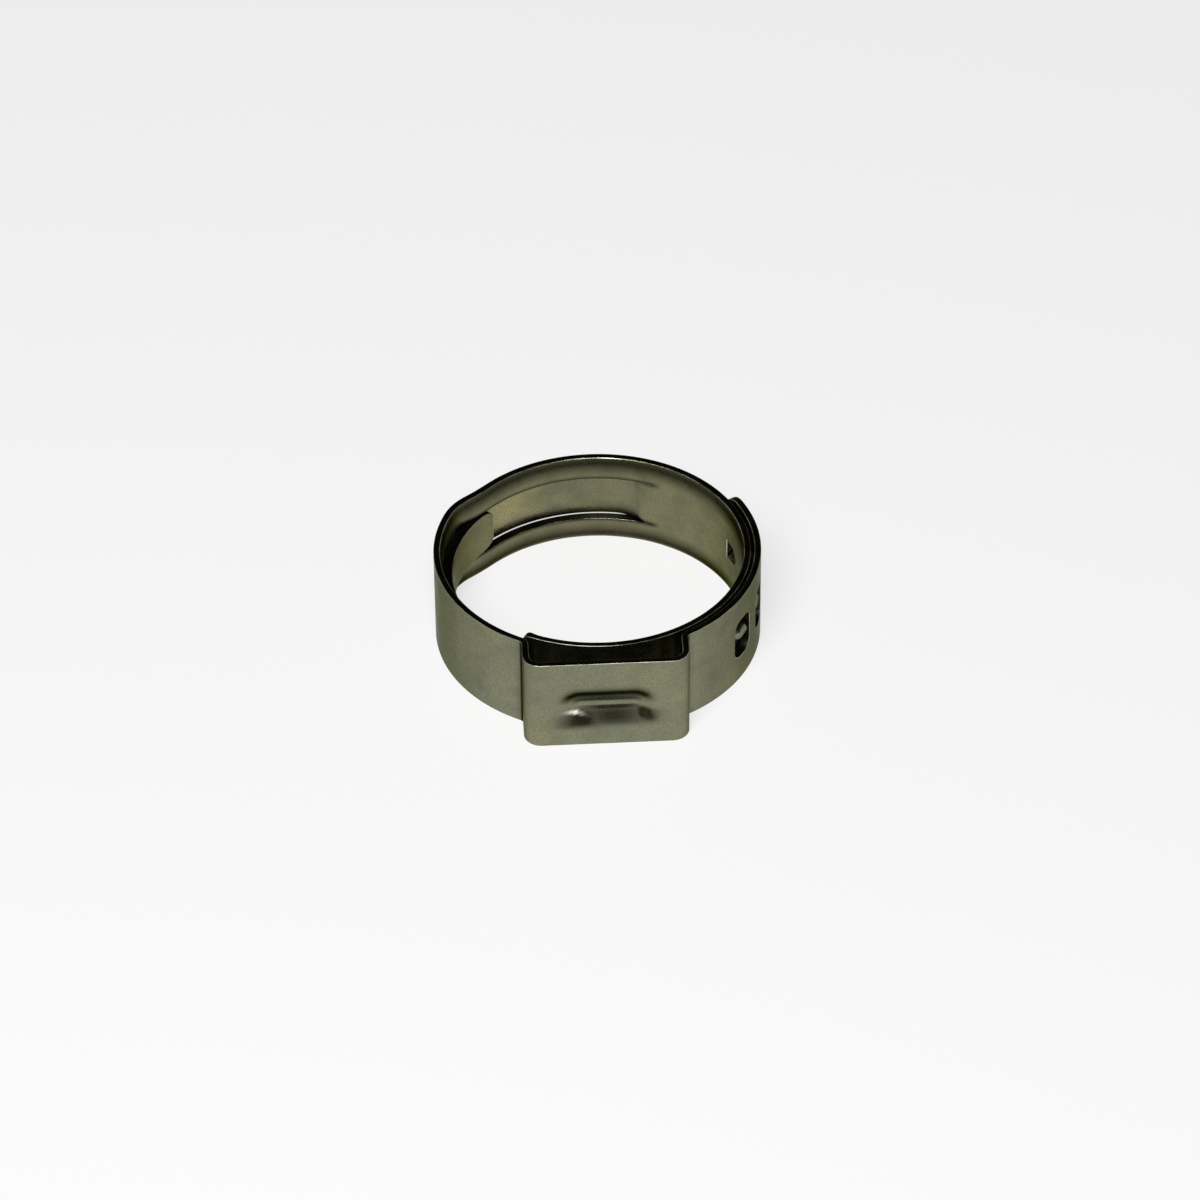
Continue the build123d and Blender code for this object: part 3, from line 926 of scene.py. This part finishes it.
def floor_finish(colour, glow):
    """Pale floor. To the camera and in reflections, a share of its brightness is its own."""
    material = bpy.data.materials.new("Pale floor")
    nodes = Nodes(material)
    camera, glossy, transmission = (
        nodes.add("ShaderNodeLightPath", output=name)
        for name in ("Is Camera Ray", "Is Glossy Ray", "Is Transmission Ray")
    )
    clamped = {"operation": "ADD", "use_clamp": True}
    seen = nodes.add("ShaderNodeMath", clamped, {0: camera + glossy, 1: transmission})
    lit = nodes.blend(seen, colour, [1 - glow] * 3)
    own = nodes.blend(seen, [0.0] * 3, [glow] * 3)
    shader = nodes.add(
        "ShaderNodeBsdfPrincipled", None,
        {
            "Base Color": lit, "Roughness": 1.0, "Specular IOR Level": 0.0, "Emission Color": own,
            "Emission Strength": 1.0,
        },
    )
    nodes.add("ShaderNodeOutputMaterial", None, {"Surface": shader})
    return material


# -------------------- operators

class EARCLAMP_OT_strip(bpy.types.Operator):
    """Build the clamp's one strip, with its ear, dimple, tongue, channel, windows and hooks"""

    bl_idname = "ear_clamp.strip"
    bl_label = "Build Strip"

    def execute(self, context):
        sizes = context.scene.ear_clamp_sizes
        finish = context.scene.ear_clamp_finish
        radii = (sizes.sharp_edge, sizes.rolled_edge)
        points, quads, normals, flat, attributes = thicken(*strip_sheet(sizes), radii)
        piece = put_mesh("clamp_strip", points, quads)
        detail_mesh(piece.data, normals, flat, attributes)
        piece.data.materials.append(steel(finish))
        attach(piece, "root")
        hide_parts(NODE)
        return {"FINISHED"}


class EARCLAMP_OT_studio(bpy.types.Operator):
    """Set up the pale floor, the lamps, the room's light and the camera"""

    bl_idname = "ear_clamp.studio"
    bl_label = "Set Up Studio"

    def execute(self, context):
        studio = context.scene.ear_clamp_studio
        self.floor(studio)
        self.room(context.scene, studio)
        self.lamps(context.scene, studio)
        self.camera(context.scene, studio)
        return {"FINISHED"}

    def floor(self, studio):
        """A round floor that the clamp stands on, and that curves up into a low backdrop.

        It is level to a distance L from its middle. Beyond that, at a distance r, it has risen by
        R - sqrt(R^2 - (r - L)^2).
        """
        level, curve = 0.5, 0.3
        rising = level + curve * np.sin(np.linspace(0.1, 1.45, 14))
        out = np.concatenate([np.linspace(0, level, 11), rising])
        rise = curve - np.sqrt(np.maximum(curve**2 - np.maximum(out - level, 0) ** 2, 0))
        around = np.linspace(0, tau, 97)
        x, y = np.outer(out, np.cos(around)), np.outer(out, np.sin(around))
        z = np.repeat(rise[:, None] + CAD_LOW.z, len(around), axis=1)
        points = np.stack([x, y, z], axis=2).reshape(-1, 3)
        floor = put_mesh("floor", points, grid_quads(*x.shape).reshape(-1, 4))
        floor.data.materials.append(floor_finish(studio.floor, studio.glow))

    def room(self, scene, studio):
        """A dim even room."""
        scene.world = bpy.data.worlds.new("Room")
        nodes = Nodes(scene.world)
        light = nodes.add("ShaderNodeBackground", None, {"Color": (1, 1, 1, 1), "Strength": studio.room})
        nodes.add("ShaderNodeOutputWorld", None, {"Surface": light})

    def lamps(self, scene, studio):
        """A broad soft lamp above the front, and a small low one that glints in the dimple."""
        self.lamp(scene, "Soft lamp", (0.20, 0.20), studio.lamp, (-0.06, -0.20, 0.27))
        self.lamp(scene, "Low lamp", (0.08, 0.02), studio.lamp / 28, (0.165, -0.25, 0.018))

    def lamp(self, scene, name, size, power, place):
        """An oval area lamp that faces the clamp."""
        light = bpy.data.lights.new(name, "AREA")
        light.shape = "ELLIPSE"
        light.size, light.size_y = size
        light.energy = power
        holder = bpy.data.objects.new(name, light)
        scene.collection.objects.link(holder)
        holder.location = place
        holder.rotation_mode = "QUATERNION"
        holder.rotation_quaternion = (-Vector(place)).to_track_quat("-Z", "Y")

    def camera(self, scene, studio):
        """Camera on its sight line, with its picture level apart from a slight roll."""
        away = Vector((
            -sin(studio.azimuth) * cos(studio.elevation),
            -cos(studio.azimuth) * cos(studio.elevation),
            sin(studio.elevation),
        ))
        right = Vector((cos(studio.azimuth), -sin(studio.azimuth), 0))
        up = away.cross(right)
        across = right * cos(studio.roll) + up * sin(studio.roll)
        upward = up * cos(studio.roll) - right * sin(studio.roll)
        target = Vector(PICTURE_MIDDLE) * MM
        lens = bpy.data.cameras.new("Camera")
        lens.sensor_width = 36.0
        lens.lens = studio.scale * studio.distance * lens.sensor_width
        lens.clip_start, lens.clip_end = 0.01, 10.0
        camera = bpy.data.objects.new("Camera", lens)
        scene.collection.objects.link(camera)
        turn = Matrix((across, upward, away)).transposed()
        camera.matrix_world = Matrix.Translation(target + away * studio.distance) @ turn.to_4x4()
        scene.camera = camera
        scene.view_settings.view_transform = "Standard"


class EARCLAMP_PT_panel(bpy.types.Panel):
    """The clamp's operators and settings"""

    bl_idname = "EARCLAMP_PT_panel"
    bl_label = "Ear Clamp"
    bl_space_type = "VIEW_3D"
    bl_region_type = "UI"
    bl_category = "Ear Clamp"

    def draw(self, context):
        scene = context.scene
        groups = (scene.ear_clamp_sizes, scene.ear_clamp_finish, scene.ear_clamp_studio)
        for group in groups:
            box = self.layout.box()
            for name in group.__annotations__:
                box.prop(group, name)
        self.layout.operator(EARCLAMP_OT_strip.bl_idname)
        self.layout.operator(EARCLAMP_OT_studio.bl_idname)


CLASSES = (ClampSizes, SteelFinish, StudioSettings, EARCLAMP_OT_strip, EARCLAMP_OT_studio, EARCLAMP_PT_panel)


def register():
    for item in CLASSES:
        bpy.utils.register_class(item)
    bpy.types.Scene.ear_clamp_sizes = bpy.props.PointerProperty(type=ClampSizes)
    bpy.types.Scene.ear_clamp_finish = bpy.props.PointerProperty(type=SteelFinish)
    bpy.types.Scene.ear_clamp_studio = bpy.props.PointerProperty(type=StudioSettings)


def unregister():
    del bpy.types.Scene.ear_clamp_studio
    del bpy.types.Scene.ear_clamp_finish
    del bpy.types.Scene.ear_clamp_sizes
    for item in reversed(CLASSES):
        bpy.utils.unregister_class(item)


def main():
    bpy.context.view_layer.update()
    register()
    bpy.ops.ear_clamp.strip()
    bpy.ops.ear_clamp.studio()


if __name__ == "__main__":
    main()
